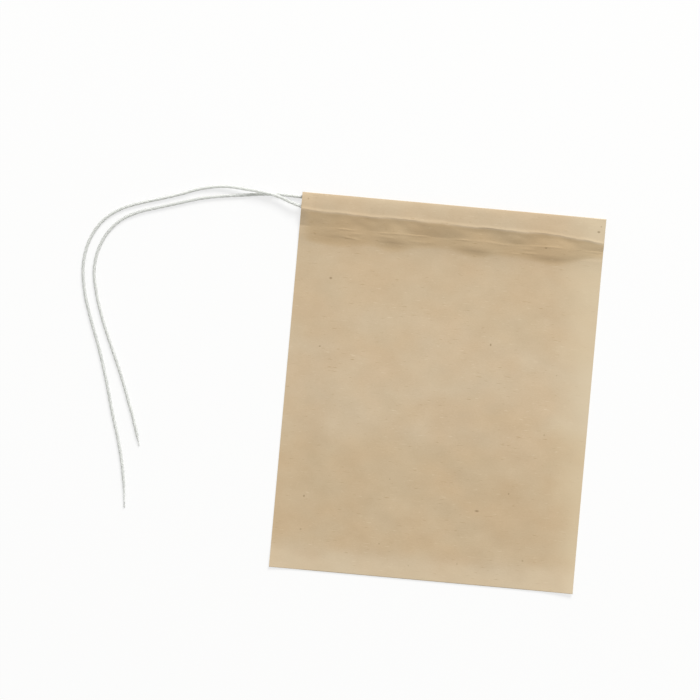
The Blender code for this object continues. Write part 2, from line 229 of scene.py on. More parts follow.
class TeaBagPaperSettings(bpy.types.PropertyGroup):
    """Sizes and colours of the paper."""

    thickness: length("Paper thickness", "Thickness of one layer of filter paper", 0.12 * MM)
    hem_depth: length("Hem depth", "From the fold at the mouth to the paper's raw edge inside", 11.5 * MM)
    hem_seal: length("Hem seal", "Width of the hem's heat seal above the raw edge", 2.6 * MM)
    side_seal: length("Side seal", "Width of the heat seal along each side", 4.0 * MM)
    puff: length("Puff", "Clear height inside the empty pocket where it stands highest", 0.8 * MM)
    colour: tint("Paper", "Unbleached wood and abaca pulp", "#CCB99C")
    # Paler paper where seals and folds flattened it, and painted light along the right side, which faces the
    # lamp
    pressed_and_lit_colour: tint("Pressed paper", "The paper where a seal or a fold has pressed it", "#D8C8AA")
    speck_colour: tint("Specks", "Bits of bark in the pulp", "#7E6647")
    # Painted shade: a darker, browner tint on the hem's slope below the string, at the puckers, over the
    # lower third and faintly over the upper third
    painted_shade_tint: tint("Painted shade", "Tint of the paper where heat or thicker pulp has made it browner", "#F7F1E5")


class TeaBagStringSettings(bpy.types.PropertyGroup):
    """Sizes and colours of the strings."""

    diameter: length("Diameter", "Thickness of a free string", STRING_DIAMETER)
    pressed_height: length("Height in the hem", "Height of a string where the paper flattens it", 0.57 * MM)
    pitch: length("Twist", "Length of one full turn of the plies", 5.4 * MM)
    hairs_per_metre: bpy.props.IntProperty(
        name="Loose fibres", description="Fibres that stand off one metre of string", default=1500, min=0)
    colour: tint("Cotton", "Bleached cotton on the crowns of the plies", "#CBCDC8")
    # Painted shade: a greyer cotton colour in the grooves between the plies, where shade falls
    groove_shade_colour: tint("Cotton in the grooves", "Bleached cotton between the plies", "#C3C5C0")
    # Painted light: a paler copy of the cotton's colour for the loose fibres, standing in for the light that
    # shines through them
    lit_fibre_colour: tint("Cotton of the loose fibres", "Single fibres, which let light through", "#F4F5F1")


class TeaBagStageSettings(bpy.types.PropertyGroup):
    """The table, the lamp and the camera."""

    camera_height: length("Camera height", "Camera above the table", 0.75)
    key_power: bpy.props.FloatProperty(
        name="Key lamp", description="Power of the large soft lamp above the mouth",
        default=167.0, subtype="POWER", unit="POWER")
    sky_strength: bpy.props.FloatProperty(
        name="Room light", description="Brightness of the even light from all round", default=0.43, min=0.0)


def paper():
    """The paper's settings."""
    return bpy.context.scene.tea_bag_paper


def yarn():
    """The strings' settings."""
    return bpy.context.scene.tea_bag_string


def ease(share):
    """Rise from 0 to 1 as share goes from 0 to 1, level at both ends: 3 s squared less 2 s cubed."""
    share = np.clip(share, 0.0, 1.0)
    return share * share * (3.0 - 2.0 * share)


def bell(distance, width):
    """1 at no distance, and e to the minus square of distance over width beyond it."""
    return np.exp(-(distance / width) ** 2)


def waves(x, y, table):
    """Soft uneven waves, the sum of a list's. Each is its height times a mean of sines, which run across
    the place in seeded directions and have about the list's lengths along x and along y."""
    total = 0.0
    for height, length_x, length_y, seed in table:
        dice = np.random.default_rng(seed)
        turns, stretches, phases = (dice.uniform(low, high, WAVE_TERMS)
                                    for low, high in ((0, 2 * np.pi), (0.7, 1.5), (0, 2 * np.pi)))
        for turn, stretch, phase in zip(turns, stretches, phases):
            along = x / MM * np.cos(turn) / length_x + y / MM * np.sin(turn) / length_y
            total = total + height * np.sin(2 * np.pi * stretch * along + phase)
    return total / math.sqrt(WAVE_TERMS)


def run_of(route):
    """Distance along a route to each of its points."""
    return np.concatenate(([0.0], np.cumsum(np.linalg.norm(np.diff(route, axis=0), axis=1))))


def smooth_route(points, spacing):
    """Points an even spacing apart on a smooth curve through a route's own points.

    Each stretch is a cubic. Its slope at a point is that of the parabola through the point and its two
    neighbours, so neighbouring stretches meet without a kink.
    """
    points = np.array(points)
    along = run_of(points)
    slopes = np.gradient(points, along, axis=0, edge_order=2)
    at = np.linspace(0.0, along[-1], 60 * len(points))
    stretch = np.clip(np.searchsorted(along, at, side="right") - 1, 0, len(points) - 2)
    run = (along[stretch + 1] - along[stretch])[:, None]
    u = (at - along[stretch])[:, None] / run
    fine = ((1 + 2 * u) * (1 - u) ** 2 * points[stretch] + u ** 2 * (3 - 2 * u) * points[stretch + 1]
            + u * (1 - u) ** 2 * run * slopes[stretch] - u ** 2 * (1 - u) * run * slopes[stretch + 1])
    done = run_of(fine)
    even = np.linspace(0.0, done[-1], int(round(done[-1] / spacing)) + 1)
    return np.column_stack([np.interp(even, done, fine[:, axis]) for axis in range(points.shape[1])])


def hem_line(route):
    """A string's line in its hem as (x, drop) points on a smooth curve, from the right edge leftwards."""
    across, down = np.array(route).T
    points = np.column_stack(((across - 0.5) * BAG_WIDTH, down * CHANNEL_DEPTH))
    ends = points[:1] + (points[0] - points[1]) * 0.6, points[-1:] + (points[-1] - points[-2]) * 0.6
    return smooth_route(np.concatenate((ends[0], points, ends[1])), 0.5 * MM)


def line_drop(line, x):
    """Drop of a string's line at x."""
    return np.interp(x, line[::-1, 0], line[::-1, 1])


FRONT_HEM_LINE = hem_line(FRONT_HEM_ROUTE)
BACK_HEM_LINE = hem_line(BACK_HEM_ROUTE)


def front_drop(x):
    """Drop of the ridge over the front string at x: the string's own, with small kinks of the paper."""
    return line_drop(FRONT_HEM_LINE, x) + waves(x, 0.0, RIDGE_KINKS) * MM


def string_height(x):
    """Height of a string in its hem: flattened under the paper, more so near the seal at the right, and
    round in the last 3 mm before the open end of the channel at the left."""
    opening = ease((-x - HALF_WIDTH + 3.5 * MM) / (3.0 * MM))
    caught = 1.0 - 0.40 * ease((x - HALF_WIDTH + 26.0 * MM) / (20.0 * MM))
    return (yarn().pressed_height + (yarn().diameter - yarn().pressed_height) * opening) * caught


def string_room(x):
    """Clear height that a string needs in its hem."""
    return string_height(x) + 0.04 * MM


def pocket_share(x):
    """0 in the side seals and 1 in the middle of the bag, with an eased rise between."""
    return ease((HALF_WIDTH - paper().side_seal - abs(x)) / SIDE_RISE)


def seal_top():
    """Drop at which the hem's heat seal starts."""
    return paper().hem_depth - paper().hem_seal


def back_ply_height(x, drop):
    """Middle of the back ply, which lies flat on the table."""
    return np.zeros(np.broadcast(x, drop).shape) + paper().thickness / 2


def back_flap_height(x, drop):
    """Middle of the back flap: as high as its string needs from the fold to the string, and from there
    an eased slope down to the hem's seal."""
    crest = line_drop(BACK_HEM_LINE, x) + yarn().diameter / 2
    slope = 1.0 - ease((drop - crest) / (seal_top() - crest))
    room = SEALED_ROOM + (string_room(x) - SEALED_ROOM) * slope
    return back_ply_height(x, drop) + paper().thickness + room


def seal_relief(x, drop):
    """Small marks of the hem's heat seal, in metres, which its ply and its flap share.

    A crease along the seal's top is a bell in the drop, broken by soft waves along x. A short crease is
    a bell in the distance from its line that fades past its ends. All fade out just above the seal and
    at a drop of 13.5 mm.
    """
    xs, drops = x / MM, drop / MM
    top = seal_top() / MM
    broken = np.clip(0.55 + waves(x, 0.0, CREASE_BREAKS), 0, 1.4)
    relief = TOP_CREASE[0] * broken * bell(drops - top - waves(x, 0.0, CREASE_BENDS), TOP_CREASE[1])
    for x0, drop0, x1, drop1, height in SHORT_CREASES:
        share = (xs - x0) / (x1 - x0)
        line = drop0 + (drop1 - drop0) * np.clip(share, 0, 1)
        fade = bell(np.maximum(abs(share - 0.5) - 0.3, 0), 0.16)
        relief = relief + height * fade * bell(drops - line, SHORT_CREASE_WIDTH)
    relief = relief + waves(x, drop, SEAL_WAVES) * ease((drops - top) / 0.6)
    return relief * MM * ease((drops - top + 0.7) / 0.6) * ease((13.5 - drops) / 2.0)


def side_shift(x):
    """How much further up the lower marks of the hem lie near the right side seal, which holds it: an
    eased rise from x = 27 mm to 39 mm."""
    return SIDE_SHIFT * ease((x - 27.0 * MM) / (12.0 * MM))


def hem_lift(x, drop):
    """How far the mouth gapes: the front hem stands off the back one, least at the sealed right side,
    and less at the left end, where the strings are round.

    Down the bag it starts at 0.8 of its height at the fold, has all of it 2.5 mm further down, and
    falls off past the seal's top at an even slope with soft ends. Soft waves along x make it uneven.
    """
    right = 0.20 + 0.80 * ease((HALF_WIDTH - x) / (6.0 * MM))
    left = 0.45 + 0.55 * ease((x + HALF_WIDTH) / (8.0 * MM))
    start = 0.80 + 0.20 * ease(drop / (2.5 * MM))
    fall = np.clip((drop + side_shift(x) - LIFT_FALLS) / (LIFT_ENDS - LIFT_FALLS), 0, 1)
    uneven = 1.0 + waves(x, 0.0, LIFT_WAVES)
    return HEM_LIFT * right * left * start * (1.0 - 0.8 * fall - 0.2 * ease(fall)) * uneven


def pucker_swell(x, drop):
    """How far the seal swells up at its puckers. Along x each is a bell. Down the bag it eases up from
    the ridge to the seal's top, and down again past the raw edge, with a short step in the fall. The fall
    lies lower down and is shorter towards the right, where the sheet was folded deeper."""
    ridge = front_drop(x)
    up = ease((drop - ridge) / (seal_top() - ridge))
    start = seal_top() + 1.45 * MM + 0.014 * x - side_shift(x)
    fall = 0.9 * ease((drop - start) / (2.7 * MM - 0.013 * x))
    fall = fall + 0.1 * ease((drop - start - 0.8 * MM) / (0.7 * MM))
    swell = sum(height * bell(x / MM - centre, width) for centre, height, width in PUCKERS) * MM
    return swell * up * (1.0 - fall)


def plain_flap_height(x, drop):
    """Middle of the front flap, across the mouth from the back flap, without its seal's fine marks."""
    room = SEALED_ROOM + (MOUTH_ROOM - SEALED_ROOM) * pocket_share(x)
    return back_flap_height(x, drop) + paper().thickness + room + hem_lift(x, drop) + pucker_swell(x, drop)


def front_flap_height(x, drop):
    """Middle of the front flap, with the marks of its seal that stand up."""
    return plain_flap_height(x, drop) + np.maximum(seal_relief(x, drop), 0.0)


def slope_relief(x, drop):
    """Bulges on the slope between the string and the seal: each is a bell along x, and half a sine wave
    down the slope, whose middle stands a little above the slope's. Small waves lie on them."""
    ridge = front_drop(x)
    share = np.clip((drop - ridge) / (seal_top() - ridge), 0, 1)
    height = sum(height * bell(x / MM - centre, width) for centre, height, width in SLOPE_BULGES)
    return (height + waves(x, drop, SLOPE_WAVES)) * MM * np.sin(np.pi * share ** 0.7)


def front_hem_height(x, drop):
    """Middle of the front ply over its hem. From the fold it rises ever more slowly, as 1 less e to the
    minus distance over FOLD_RISE, and sags evenly by PLATEAU_SAG. It bulges over the string by a bell
    that is narrow towards the fold and wide away from it, and falls evenly to the foot of the seal's
    crease."""
    fold_drop = fold_radius(FRONT_FOLD_ROOM) + paper().thickness / 2
    ridge_drop = front_drop(x)
    fold = front_flap_height(x, fold_drop) + paper().thickness + FRONT_FOLD_ROOM
    ridge = front_flap_height(x, ridge_drop) + paper().thickness + string_room(x) - UNDER_RIDGE
    foot_drop = seal_top() - CREASE_FOOT
    seal = plain_flap_height(x, foot_drop) + paper().thickness + SEALED_ROOM
    share = np.clip((drop - fold_drop) / (ridge_drop - fold_drop), 0, 1)
    bends = (ridge_drop - fold_drop) / FOLD_RISE
    rise = (ridge + PLATEAU_SAG - fold) * (1 - np.exp(-bends * share)) / (1 - np.exp(-bends))
    rise = fold + rise - PLATEAU_SAG * share + waves(x, drop, PLATEAU_WAVES) * MM * np.sin(np.pi * share)
    share = np.clip((drop - ridge_drop) / (foot_drop - ridge_drop), 0, 1)
    fall = seal + (ridge - seal) * (1 - share) + slope_relief(x, drop)
    over_string = bell(drop - ridge_drop, np.where(drop < ridge_drop, RIDGE_ABOVE, RIDGE_BELOW))
    base = np.where(drop < ridge_drop, rise, fall) + RIDGE_HEIGHT * over_string
    sealed = front_flap_height(x, drop) + paper().thickness + SEALED_ROOM
    return np.where(drop < seal_top(), np.maximum(base, sealed), sealed)


def front_pocket_height(x, drop):
    """Middle of the front ply over the pocket. Its room is pressed flat along the sides and the bottom
    fold, highest at a share of the way down, and lowest at the raw edge, where the hem's run-out is
    added to it. Soft waves stand on it."""
    up = BAG_HEIGHT - drop
    peak = BAG_HEIGHT * (1 - PUFF_MIDDLE)
    below = ease((up - PRESSED_BOTTOM) / (peak - PRESSED_BOTTOM))
    raw_edge = BAG_HEIGHT - paper().hem_depth
    above = -0.12 + 1.12 * ease((raw_edge - up) / (raw_edge - peak))
    share = np.where(up < peak, below, above)
    soft = waves(x, drop, POCKET_WAVES) * MM
    soft = soft * ease(up / (12.0 * MM)) * ease((drop - paper().hem_depth) / (25.0 * MM))
    room = BOTTOM_FOLD_ROOM + (paper().puff - BOTTOM_FOLD_ROOM) * share + soft
    room = SEALED_ROOM + (np.maximum(room, 0.02 * MM) - SEALED_ROOM) * pocket_share(x)
    return back_ply_height(x, drop) + paper().thickness + room


def front_ply_height(x, drop):
    """Middle of the front ply: its hem's height, and past the raw edge the height of the pocket plus a
    rest of the hem's that falls off as e to the minus distance over RUNOUT_BEND and ends by HEM_RUNOUT.
    The puckers' swell runs on over both. It is always clear of the back ply."""
    in_hem = np.minimum(drop, paper().hem_depth)
    hem = front_hem_height(x, in_hem) - pucker_swell(x, in_hem)
    pocket = front_pocket_height(x, drop)
    past = drop - in_hem
    rest = np.exp(-past / RUNOUT_BEND) * (1.0 - ease(past / HEM_RUNOUT))
    height = np.where(past > 0, pocket + (hem - pocket) * rest, hem) + pucker_swell(x, drop)
    return np.maximum(height, back_ply_height(x, drop) + paper().thickness + SEALED_ROOM)


def fold_radius(room):
    """Radius of a fold's middle line round a clear height."""
    return (room + paper().thickness) / 2


def rows_between(knots, counts):
    """Drops of the rows, as an array of rows by stations. Each stretch between two knots has its own
    count of rows, which stand closer together towards both knots: (1 - cos(pi u)) / 2 of the way."""
    rows = [knots[:1]]
    for start, end, count in zip(knots[:-1], knots[1:], counts):
        share = (1 - np.cos(np.pi * np.arange(1, count + 1) / count)) / 2
        rows.append(start + (end - start) * share[:, None])
    return np.concatenate(rows)


def fold_rows(low, high, down_the_bag):
    """Rows of half a circle between two rows of (drop, height), the ends left out. It bulges down the
    bag at 1 and up the bag at -1."""
    middle, radius = (low + high) / 2, (high[1] - low[1]) / 2
    angles = np.linspace(-np.pi / 2, np.pi / 2, FOLD_STEPS + 2)[1:-1, None]
    return np.stack((middle[0] + radius * down_the_bag * np.cos(angles), middle[1] + radius * np.sin(angles)))


def corner_lift(x, y):
    """How far the limp bag's lower corners stand off the table: a corner's own factor times the square
    of the way past a slanting line that cuts it off, in millimetres."""
    lift = 0.0
    for side, line, factor in LIFTED_CORNERS:
        lift = lift + factor * np.clip((side * x * 0.7 - y * 0.7) / MM - line, 0, None) ** 2
    return lift * MM


def pressed_and_lit_share(x, drop):
    """How far each place is paler: partly where seals and folds flattened the paper, and partly painted light
    on the right side, which faces the lamp. The band along the right seal is widest near the mouth and fades
    over the hem, it is faint along the middle of the left seal, and it runs along the bottom fold. The
    borders are soft and uneven."""
    uneven = waves(x, TOP - drop, PRESSED_AND_LIT_BORDER) * MM
    width = (8.0 + 6.5 * ease(1.0 - drop / (95.0 * MM))) * MM
    right = ease((x - HALF_WIDTH + width + uneven) / width)
    right = right * (1.0 - 0.75 * bell(drop - 8.0 * MM, 3.2 * MM))
    left = 0.09 * ease((-x - HALF_WIDTH + paper().side_seal + uneven) / (3.5 * MM))
    left = left * bell(drop - 42.0 * MM, 26.0 * MM)
    low = 0.45 * ease((drop - BAG_HEIGHT + 6.4 * MM + 1.1 * uneven) / (4.2 * MM))
    return np.maximum(np.maximum(right, left), low)


def painted_shade_share(x, drop):
    """How much painted shade each place has, as a darker, browner tint: wholly so from the ridge to about the
    raw edge, on the hem's slope that falls away from the lamp, further down at the puckers, and less at the
    channel's open end. It has half as much in the lower third of the bag, which slopes away from the lamp,
    and faintly in the upper one."""
    uneven = waves(x, drop, PAINTED_SHADE_BORDER) * MM
    at_pucker = sum(bell(x / MM - centre, width) for centre, _, width in PUCKERS)
    ends = (11.0 + 1.4 * np.minimum(at_pucker, 1.0)) * MM + 0.4 * uneven - side_shift(x)
    past = ease((drop - front_drop(x)) / (0.6 * MM))
    hem = past * (1.0 - ease((drop - ends) / (2.4 * MM)))
    hem = hem * (0.3 + 0.7 * ease((x + HALF_WIDTH) / (3.5 * MM)))
    high = (0.4 + 0.6 * past) * (1.0 - ease((drop - 28.0 * MM + 5.0 * uneven) / (14.0 * MM)))
    low = ease((drop - 54.0 * MM + 5.0 * uneven) / (16.0 * MM))
    low = low * (1.0 - ease((drop - 91.0 * MM) / (5.0 * MM)))
    return np.maximum(hem, 0.28 * high) + 0.50 * low


def sheet_surface():
    """The folded sheet as rows by stations: x, y, z, and at each place the share that is paler from sealing,
    folding and painted light, and the share of painted shade.

    The first parameter runs across the bag. The second follows the paper from raw edge to raw edge: up
    the front flap, over the top fold, down the front ply, round the bottom fold, up the back ply and
    over into the back flap.
    """
    x = np.linspace(-HALF_WIDTH, HALF_WIDTH, STATIONS)
    level = np.ones(STATIONS)
    half = paper().thickness / 2
    bottom_radius = (front_ply_height(x, BAG_HEIGHT * level) - back_ply_height(x, BAG_HEIGHT * level)) / 2
    bottom = BAG_HEIGHT - half - bottom_radius
    hem_end = paper().hem_depth * level
    front_knots = np.stack((
        (fold_radius(FRONT_FOLD_ROOM) + half) * level, front_drop(x), seal_top() * level, hem_end,
        hem_end + HEM_RUNOUT, bottom))
    back_radius = fold_radius(string_room(x))
    back_knots = np.stack((
        back_radius + half, line_drop(BACK_HEM_LINE, x) + 0.5 * MM, seal_top() * level, hem_end, bottom))
    front_drops = rows_between(front_knots, (20, 20, 18, 26, 76))
    flap_drops = rows_between(front_knots[:4], (20, 20, 18))
    back_drops = rows_between(back_knots, (6, 8, 4, 40))
    back_flap_drops = rows_between(back_knots[:4], (6, 8, 4))
    front_flap = np.stack((flap_drops, front_flap_height(x, flap_drops)))[:, ::-1]
    front_ply = np.stack((front_drops, front_ply_height(x, front_drops)))
    back_ply = np.stack((back_drops, back_ply_height(x, back_drops)))[:, ::-1]
    back_flap = np.stack((back_flap_drops, back_flap_height(x, back_flap_drops)))
    runs = [
        front_flap, fold_rows(front_flap[:, -1], front_ply[:, 0], -1), front_ply,
        fold_rows(back_ply[:, 0], front_ply[:, -1], 1)[:, ::-1], back_ply,
        fold_rows(back_ply[:, -1], back_flap[:, 0], -1), back_flap,
    ]
    drop, height = np.concatenate(runs, axis=1)
    across = np.broadcast_to(x, drop.shape)
    points = np.stack((across, TOP - drop, height + corner_lift(across, TOP - drop)), axis=-1)
    return points, pressed_and_lit_share(across, drop), painted_shade_share(across, drop)


def grid_faces(rows, columns, wrap=False):
    """Quads of a grid of points, row after row. With wrap the last column joins the first."""
    row, column = np.meshgrid(np.arange(rows - 1), np.arange(columns - (not wrap)), indexing="ij")
    here = row * columns + column
    right = row * columns + (column + 1) % columns
    return np.stack((here, right, right + columns, here + columns), axis=-1).reshape(-1, 4)


def sharpen_rim(mesh, rows, columns):
    """Mark the outer edges of a grid's mesh as sharp, so that a thin wall's rim is shaded by itself: an
    edge is one of them where both its ends are in the first or last row, or column."""
    ends = np.zeros(2 * len(mesh.edges), int)
    mesh.edges.foreach_get("vertices", ends)
    row, column = np.divmod(ends.reshape(-1, 2), columns)
    rim = np.zeros(len(mesh.edges), bool)
    for place, last in ((row, rows - 1), (column, columns - 1)):
        rim |= (place == 0).all(axis=1) | (place == last).all(axis=1)
    mesh.attributes.new("sharp_edge", "BOOLEAN", "EDGE").data.foreach_set("value", rim)


def put(name, data):
    """Put an object into the scene."""
    item = bpy.data.objects.new(name, data)
    bpy.context.scene.collection.objects.link(item)
    return item


def new_piece(name, points, faces, material, node):
    """Put a mesh in the scene as a smooth piece that rides on the part and stands for a CAD node."""
    mesh = bpy.data.meshes.new(name)
    mesh.from_pydata(points.tolist(), [], faces)
    mesh.shade_smooth()
    mesh.materials.append(material)
    mesh.update()
    item = put(name, mesh)
    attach(item, "root")
    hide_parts(node)
    return item


def add_attribute(mesh, name, values):
    """Give a mesh one number at each of its points."""
    mesh.attributes.new(name, "FLOAT", "POINT").data.foreach_set("value", values.ravel().astype(np.float32))


def add_node(tree, kind, inputs=None, **settings):
    """Add a shader node with its settings, and fill its inputs with values or with links from sockets."""
    node = tree.nodes.new("ShaderNode" + kind)
    for name, value in settings.items():
        setattr(node, name, value)
    for key, value in (inputs or {}).items():
        if isinstance(value, bpy.types.NodeSocket):
            tree.links.new(value, node.inputs[key])
        else:
            node.inputs[key].default_value = value
    return node


def new_material(name):
    """An empty material's node tree, with the material."""
    material = bpy.data.materials.new(name)
    material.use_nodes = True
    material.node_tree.nodes.clear()
    return material, material.node_tree


def seen_ray(tree):
    """1 for a ray from the camera, or on from it through glass or off gloss, and 0 for the others."""
    rays = add_node(tree, "LightPath").outputs
    seen = rays["Is Camera Ray"]
    for name in ("Is Glossy Ray", "Is Transmission Ray"):
        seen = add_node(tree, "Math", {0: seen, 1: rays[name]}, operation="MAXIMUM").outputs[0]
    return seen


def unbleached_filter_paper():
    """Unbleached tea filter paper: wood and abaca fibres laid wet on a wire, dried and hot-pressed.

    It gives the eye a matt, slightly cloudy tan with short fibres that lie mostly across the bag, a few dark
    bits of bark, and paler, smoother bands where seals and folds have flattened it, with painted light along
    the right side. Painted shade, a browner, darker tint, lies on the hem's slope below the string, at the
    puckers and over the lower third.
    """
    material, tree = new_material("unbleached_filter_paper")
    place = add_node(tree, "TexCoord").outputs["Object"]
    mm = add_node(tree, "VectorMath", {0: place, 1: (1000, 1000, 1000)}, operation="MULTIPLY").outputs[0]
    drives = {}
    for name, (stretch, detail, turn) in PAPER_NOISES.items():
        turned = add_node(tree, "Mapping", {
            "Vector": mm, "Rotation": (0, 0, turn), "Scale": stretch})
        drives[name] = add_node(tree, "TexNoise", {
            "Vector": turned.outputs[0], "Scale": 1.0, "Detail": detail, "Roughness": 0.55}).outputs["Fac"]
    for name in ("pressed", "browned"):
        drives[name] = add_node(tree, "Attribute", attribute_name=name).outputs["Fac"]
    # Distance from the nearest dark speck, in its own half sizes, and from the nearest faint one, which
    # are 0.4 mm across and about 9 mm apart
    nearest = 9.0
    for x, y, across, height in SPECKS:
        at = add_node(tree, "Mapping", {
            "Vector": mm, "Location": (-2 * x / across, -2 * y / height, 0),
            "Scale": (2 / across, 2 / height, 0)})
        away = add_node(tree, "VectorMath", {0: at.outputs[0]}, operation="LENGTH")
        nearest = add_node(tree, "Math", {0: nearest, 1: away.outputs["Value"]},
                           operation="MINIMUM").outputs[0]
    faint = add_node(tree, "TexVoronoi", {"Vector": mm, "Scale": 0.11})
    drives.update({"speck": nearest, "faint speck": faint.outputs["Distance"]})

    # The layers of colour: what drives each, where it starts and where it is full, its share there, its
    # colour, and how it mixes with what is below
    colour = tuple(paper().colour)
    for drive, start, full, most, over, blend in (
            ("patches", 0.38, 0.62, 1.0, linear("#FFFBF7"), "MULTIPLY"),
            ("clouds", 0.30, 0.70, 1.0, linear("#F9F8F6"), "MULTIPLY"),
            ("bundles", 0.68, 0.80, 1.0, linear("#E8E2D6"), "MULTIPLY"),
            ("bundles", 0.33, 0.22, 0.40, linear("#E3D4B8"), "MIX"),
            ("grain", 0.25, 0.75, 1.0, linear("#FAF9F7"), "MULTIPLY"),
            # Paler where seals and folds flattened the paper, and painted light along the right side
            ("pressed", 0.0, 1.0, 0.60, tuple(paper().pressed_and_lit_colour), "MIX"),
            # Painted shade: the darker, browner tint
            ("browned", 0.0, 1.0, 1.0, tuple(paper().painted_shade_tint), "MULTIPLY"),
            ("speck", 1.45, 0.35, 0.68, tuple(paper().speck_colour), "MIX"),
            ("faint speck", 0.036, 0.018, 0.34, tuple(paper().speck_colour), "MIX")):
        share = add_node(tree, "MapRange", {
            "Value": drives[drive], "From Min": start, "From Max": full, "To Max": most})
        colour = add_node(tree, "Mix", {0: share.outputs[0], 6: colour, 7: over},
                          data_type="RGBA", blend_type=blend).outputs[2]

    # The relief: crossing fibres, raised bundles and clouds, each as strength, height in mm and pattern
    crossing = drives["fibres"]
    for name in ("steep fibres", "falling fibres"):
        crossing = add_node(tree, "Math", {0: crossing, 1: drives[name]},
                            operation="MAXIMUM").outputs[0]
    raised = add_node(tree, "MapRange", {
        "Value": drives["bundles"], "From Min": 0.66, "From Max": 0.80}).outputs[0]
    normal = {}
    for strength, height, pattern in ((0.4, 0.035, crossing), (0.5, 0.04, raised),
                                      (0.4, 0.1, drives["clouds"])):
        bump = add_node(tree, "Bump", {
            "Strength": strength, "Distance": height * MM, "Height": pattern, **normal})
        normal = {"Normal": bump.outputs[0]}
    roughness = add_node(tree, "MapRange", {
        "Value": drives["pressed"], "To Min": 0.92, "To Max": 0.80}).outputs[0]
    shader = add_node(tree, "BsdfPrincipled", {
        "Base Color": colour, "Roughness": roughness, "IOR": 1.47, "Specular IOR Level": 0.35, **normal})
    add_node(tree, "OutputMaterial", {"Surface": shader.outputs[0]})
    return material


def bleached_cotton_yarn():
    """Bleached cotton string: three soft spun plies, twisted.

    It gives the eye a matt white with fine slanting fibres along each ply, and painted shade, a greyer
    colour, in the grooves between the plies.
    """
    material, tree = new_material("bleached_cotton_yarn")
    along = add_node(tree, "UVMap", uv_map="yarn").outputs[0]
    # The yarn's own map has turns round it on u and millimetres along it on v. Fibre bundles are drawn
    # 0.12 mm thick and 1.5 mm long, coarser than the real 0.02 mm, so that they show.
    stretched = add_node(tree, "Mapping", {"Vector": along, "Scale": (22.0, 0.7, 1.0)})
    fibres = add_node(tree, "TexNoise", {
        "Vector": stretched.outputs[0], "Scale": 1.0, "Detail": 2.0}).outputs["Fac"]
    # Painted shade in the grooves between the plies, mixed with the fibres' random tone
    groove = add_node(tree, "Attribute", attribute_name="groove").outputs["Fac"]
    core = add_node(tree, "Attribute", attribute_name="core").outputs["Fac"]
    shade = add_node(tree, "MapRange", {
        "Value": fibres, "From Min": 0.3, "From Max": 0.7, "To Min": 0.35, "To Max": 0.0}).outputs[0]
    depth = add_node(tree, "Math", {0: shade, 1: groove}, operation="ADD", use_clamp=True)
    colour = add_node(tree, "Mix", {
        0: depth.outputs[0], 6: tuple(yarn().colour), 7: tuple(yarn().groove_shade_colour)}, data_type="RGBA")
    # Painted light: the loose fibres take the paler fibre colour
    colour = add_node(tree, "Mix", {
        0: core, 6: tuple(yarn().lit_fibre_colour), 7: colour.outputs[2]}, data_type="RGBA")
    bump = add_node(tree, "Bump", {"Strength": 0.6, "Distance": 0.05 * MM, "Height": fibres})
    shader = add_node(tree, "BsdfPrincipled", {
        "Base Color": colour.outputs[2], "Roughness": 0.95, "IOR": 1.5, "Specular IOR Level": 0.2,
        "Sheen Weight": 0.1, "Sheen Roughness": 0.5, "Subsurface Weight": core,
        "Subsurface Radius": (1.0, 1.0, 0.97), "Subsurface Scale": 2.5 * MM, "Normal": bump.outputs[0]})
    add_node(tree, "OutputMaterial", {"Surface": shader.outputs[0]})
    return material


def unit(vectors):
    """Vectors in the same directions, each 1 long."""
    return vectors / np.linalg.norm(vectors, axis=1)[:, None]


def directions(route):
    """Forward, sideways and upward unit vectors at each point of a route that lies nearly level."""
    forward = unit(np.gradient(route, axis=0))
    side = unit(np.cross((0.0, 0.0, 1.0), forward))
    return forward, side, np.cross(forward, side)


def yarn_tube(route, height, start_turn, taper):
    """A closed tube of three twisted plies along a route, as points, faces, UVs and the depth of the grooves
    between plies, which sets their painted shade.

    A ply's section is a circle of PLY_RADIUS of the yarn's radius, whose middle stands the rest of it,
    the offset, from the axis. At angle a from a ply's middle the surface is offset cos a + the root of
    (PLY_RADIUS squared - (offset sin a) squared) away. The plies turn once in each pitch. Height is the
    yarn's height at each point, and taper the share of its thickness that it keeps.
    """
    run = run_of(route)
    _, side, up = directions(route)
    around = 2 * np.pi * np.arange(YARN_COLUMNS) / YARN_COLUMNS
    turned = around[None, :] - (start_turn + 2 * np.pi * run / yarn().pitch)[:, None]
    third = 2 * np.pi / 3
    off_ply = (turned + third / 2) % third - third / 2
    offset = 1.0 - PLY_RADIUS
    reach = offset * np.cos(off_ply) + np.sqrt(PLY_RADIUS ** 2 - (offset * np.sin(off_ply)) ** 2)
    radius = reach * (yarn().diameter / 2 * taper)[:, None]
    squash = (height / yarn().diameter)[:, None]
    points = (route[:, None] + side[:, None] * (radius * np.cos(around))[..., None]
              + up[:, None] * (radius * squash * np.sin(around))[..., None])
    rings, columns = points.shape[:2]
    tips = np.stack((route[0], route[-1]))
    faces = grid_faces(rings, columns, wrap=True).tolist()
    last = (rings - 1) * columns
    for column in range(columns):
        after = (column + 1) % columns
        faces.append([after, column, rings * columns])
        faces.append([last + column, last + after, rings * columns + 1])
    uv = np.stack((np.broadcast_to(turned / (2 * np.pi), radius.shape),
                   np.broadcast_to(run[:, None] / MM, radius.shape)), axis=-1).reshape(-1, 2)
    uv = np.concatenate((uv, uv[[0, -1]]))
    groove = np.concatenate((((1.0 - reach) / (1.0 - reach.min())).ravel(), (0.5, 0.5)))
    return np.concatenate((points.reshape(-1, 3), tips)), faces, uv, groove


